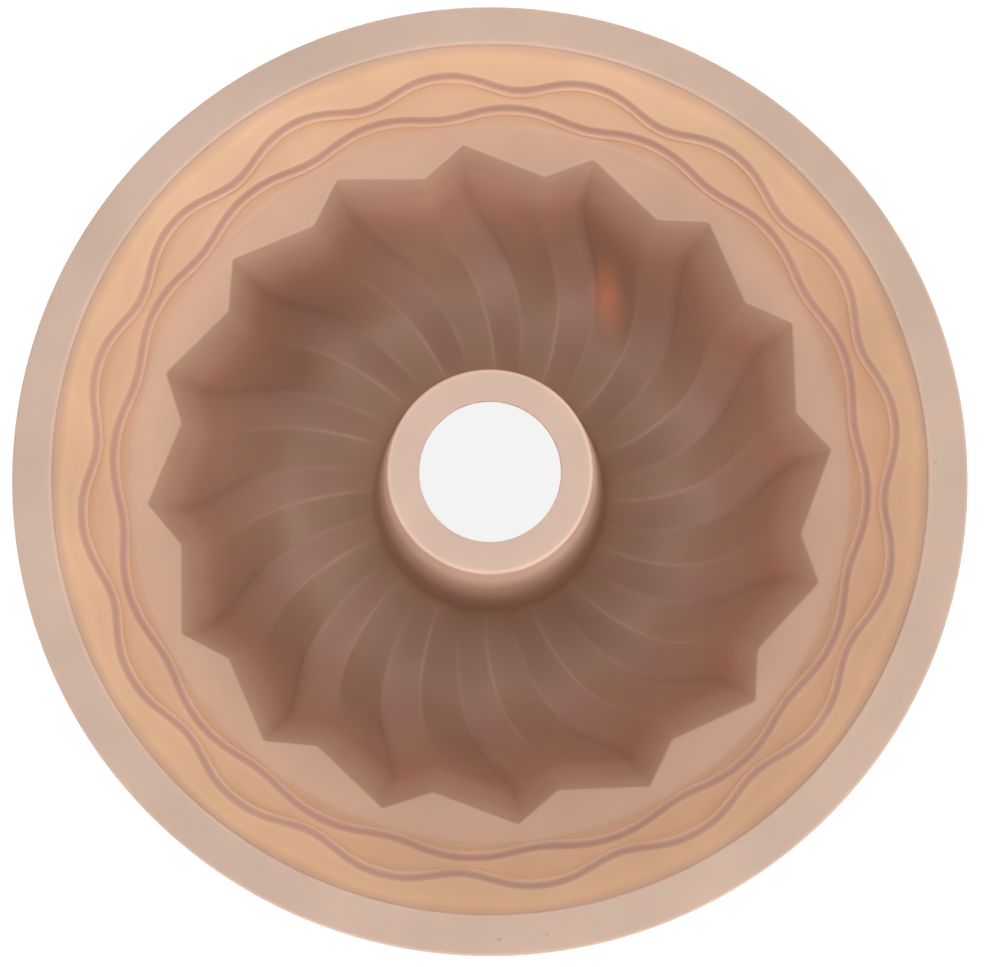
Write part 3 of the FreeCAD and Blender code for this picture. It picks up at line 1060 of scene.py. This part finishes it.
        # Painted shade at -1, no change at 0 and painted highlight at +1.
        tints = ((0.0, self.painted_shade_tint), (0.5, self.plain), (1.0, self.edge))
        for mark, (position, tint) in zip(marks, tints):
            mark.position = position
            mark.color = (*tint, 1.0)
        tree.links.new(span.outputs["Result"], ramp.inputs["Fac"])
        product = tree.nodes.new("ShaderNodeVectorMath")
        product.operation = "MULTIPLY"
        tree.links.new(colour, product.inputs[0])
        tree.links.new(ramp.outputs["Color"], product.inputs[1])
        return self._tinted(tree, product.outputs["Vector"], painted_light.outputs["Y"], self.pink_sheen)

    def _tinted(self, tree: Tree, colour: Socket, share: Socket, tint: Colour) -> Socket:
        """Multiply a colour by a tint, as far as the share says.

        Args:
            tree: Nodes of the material.
            colour: The colour without the tint.
            share: How much of the tint there is, from 0 to 1.
            tint: The tint.

        Returns:
            The colour.
        """
        blend = tree.nodes.new("ShaderNodeMix")
        blend.data_type = "RGBA"
        blend.blend_type = "MULTIPLY"
        tree.links.new(share, blend.inputs["Factor"])
        tree.links.new(colour, blend.inputs["A"])
        blend.inputs["B"].default_value = (*tint, 1.0)
        return blend.outputs["Result"]

    def _paint_glow_sheen_and_specks(self, tree: Tree, place: Socket, colour: Socket) -> Socket:
        """Put the painted glow of light through the wall, the painted sheen of reflected light and
        the rim's specks at their places.

        Args:
            tree: Nodes of the material.
            place: Object coordinates.
            colour: The colour without them.

        Returns:
            The spotted colour.
        """
        for spot in self.painted_glow_sheen_and_specks:
            away = tree.nodes.new("ShaderNodeVectorMath")
            away.operation = "SUBTRACT"
            away.inputs[1].default_value = spot.centre
            tree.links.new(place, away.inputs[0])
            scaled = tree.nodes.new("ShaderNodeVectorMath")
            scaled.operation = "DIVIDE"
            scaled.inputs[1].default_value = spot.reach
            tree.links.new(away.outputs["Vector"], scaled.inputs[0])
            length = tree.nodes.new("ShaderNodeVectorMath")
            length.operation = "LENGTH"
            tree.links.new(scaled.outputs["Vector"], length.inputs[0])
            share = tree.nodes.new("ShaderNodeMapRange")
            share.interpolation_type = "SMOOTHSTEP"
            share.inputs["From Min"].default_value = 1.0
            share.inputs["From Max"].default_value = self.spot_core
            tree.links.new(length.outputs["Value"], share.inputs["Value"])
            colour = self._tinted(tree, colour, share.outputs["Result"], spot.tint)
        return colour

    def _grain(self, tree: Tree, place: Socket) -> Socket:
        """Make the fine satin grain that the mould leaves.

        Args:
            tree: Nodes of the material.
            place: Object coordinates.

        Returns:
            The bumped normal.
        """
        grain = tree.nodes.new("ShaderNodeTexNoise")
        grain.inputs["Scale"].default_value = self.grain_scale
        grain.inputs["Detail"].default_value = self.grain_detail
        tree.links.new(place, grain.inputs["Vector"])
        bump = tree.nodes.new("ShaderNodeBump")
        bump.inputs["Strength"].default_value = self.grain_strength
        bump.inputs["Distance"].default_value = self.grain_depth
        tree.links.new(grain.outputs["Fac"], bump.inputs["Height"])
        return bump.outputs["Normal"]


@dataclass(frozen=True)
class Lamp:
    """Soft square lamp that faces the pan, with its direction in degrees."""

    azimuth: float
    elevation: float
    power: float
    reach: float = 1.0
    size: float = 0.5

    @property
    def place(self) -> Point:
        """Where the lamp hangs, in metres from the middle of the rim."""
        up = math.radians(self.elevation)
        return polar(self.reach * math.cos(up), self.azimuth, self.reach * math.sin(up))


class Studio:
    """Plain white floor, soft light all round and the photograph's camera."""

    FLOOR_SIZE = 6.0
    FLOOR_DROP = 0.0003
    FLOOR_COLOUR = (0.9, 0.9, 0.9)
    FLOOR_ROUGHNESS = 0.9
    CAMERA_DISTANCE = 0.450
    CAMERA_TILT = 7.0
    LENS = 60.52
    SENSOR = 36.0
    AIM = (6.403, -0.085)
    SKY = 0.43
    WHITE = 1.25
    WHITE_SHARE = 0.7
    LAMPS = (
        Lamp(30.0, 25.0, 1.4),
        Lamp(90.0, 35.0, 1.4),
        Lamp(150.0, 60.0, 1.3),
        Lamp(245.0, 25.0, 2.7),
        Lamp(315.0, 25.0, 3.1),
    )

    def __init__(self, sizes: PanSizes) -> None:
        """Keep the pan's sizes.

        Args:
            sizes: Sizes of the moulding.
        """
        self.sizes = sizes

    def build(self) -> None:
        """Make floor, world, lamps and camera."""
        self._floor()
        self._world()
        for number, lamp in enumerate(self.LAMPS, 1):
            self._hang(f"side_{number}", lamp)
        self._camera()

    def _floor(self) -> None:
        """Lay the white floor, which keeps a soft shadow of the pan."""
        deselect_all()
        under = (0.0, 0.0, -self.FLOOR_DROP)
        bpy.ops.mesh.primitive_plane_add(size=self.FLOOR_SIZE, location=under)
        floor = bpy.context.object
        floor.name = "floor"
        material = bpy.data.materials.new("white_floor")
        material.use_nodes = True
        tree = material.node_tree
        shader = tree.nodes["Principled BSDF"]
        shader.inputs["Base Color"].default_value = (*self.FLOOR_COLOUR, 1.0)
        shader.inputs["Roughness"].default_value = self.FLOOR_ROUGHNESS
        shader.inputs["Specular IOR Level"].default_value = 0.0
        output = tree.nodes["Material Output"]
        share = tree.nodes.new("ShaderNodeMath")
        share.operation = "MULTIPLY"
        share.inputs[1].default_value = self.WHITE_SHARE
        tree.links.new(self._seen(tree), share.inputs[0])
        white = tree.nodes.new("ShaderNodeEmission")
        white.inputs["Strength"].default_value = self.WHITE
        blend = tree.nodes.new("ShaderNodeMixShader")
        tree.links.new(share.outputs[0], blend.inputs[0])
        tree.links.new(shader.outputs[0], blend.inputs[1])
        tree.links.new(white.outputs[0], blend.inputs[2])
        tree.links.new(blend.outputs[0], output.inputs["Surface"])
        floor.data.materials.append(material)

    @staticmethod
    def _seen(tree: Tree) -> Socket:
        """Tell what the camera sees, straight, mirrored or through glass, from light.

        Args:
            tree: Nodes of the floor or the world.

        Returns:
            One for what is seen and zero for light.
        """
        path = tree.nodes.new("ShaderNodeLightPath")
        seen = path.outputs["Is Camera Ray"]
        for ray in ("Is Glossy Ray", "Is Transmission Ray"):
            either = tree.nodes.new("ShaderNodeMath")
            either.operation = "MAXIMUM"
            tree.links.new(seen, either.inputs[0])
            tree.links.new(path.outputs[ray], either.inputs[1])
            seen = either.outputs[0]
        return seen

    def _world(self) -> None:
        """Even white light all round, which looks plain white itself."""
        world = bpy.data.worlds.new("studio")
        world.use_nodes = True
        tree = world.node_tree
        sky = tree.nodes["Background"]
        sky.inputs["Color"].default_value = (1.0, 1.0, 1.0, 1.0)
        strength = tree.nodes.new("ShaderNodeMapRange")
        strength.inputs["To Min"].default_value = self.SKY
        tree.links.new(self._seen(tree), strength.inputs["Value"])
        tree.links.new(strength.outputs["Result"], sky.inputs["Strength"])
        bpy.context.scene.world = world

    def _hang(self, name: str, lamp: Lamp) -> None:
        """Hang one lamp.

        Args:
            name: Name of the lamp.
            lamp: Its place, size and power.
        """
        data = bpy.data.lights.new(name, "AREA")
        data.size = lamp.size
        data.energy = lamp.power
        hung = bpy.data.objects.new(name, data)
        across, along, up = lamp.place
        hung.location = (across, along, up + self.sizes.height * MM)
        tilt = math.radians(90.0 - lamp.elevation)
        hung.rotation_euler = (tilt, 0.0, math.radians(90.0 + lamp.azimuth))
        bpy.context.scene.collection.objects.link(hung)

    def _camera(self) -> None:
        """Set the camera nearly straight above, a little to the front."""
        data = bpy.data.cameras.new("camera")
        data.lens = self.LENS
        data.sensor_width = self.SENSOR
        camera = bpy.data.objects.new("camera", data)
        tilt = math.radians(self.CAMERA_TILT)
        back = self.CAMERA_DISTANCE
        level = self.sizes.height * MM + back * math.cos(tilt)
        camera.location = (0.0, -back * math.sin(tilt), level)
        camera.rotation_euler = (math.radians(self.AIM[0]), math.radians(self.AIM[1]), 0.0)
        bpy.context.scene.collection.objects.link(camera)
        bpy.context.scene.camera = camera


def main() -> None:
    """Dress the frame and keep the sizes of both models."""
    logging.basicConfig(level=logging.INFO, format="%(name)s: %(message)s")
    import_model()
    sizes = PanSizes()
    pan = CakePan(sizes).build()
    pan.data.materials.append(SiliconeFinish().build())
    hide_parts("cake_pan")
    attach(pan, "root")
    LOG.info("%s has %d faces", pan.name, len(pan.data.polygons))
    Studio(sizes).build()
    bpy.context.scene.view_settings.view_transform = "Standard"
    bpy.context.view_layer.update()


if __name__ == "__main__":
    main()
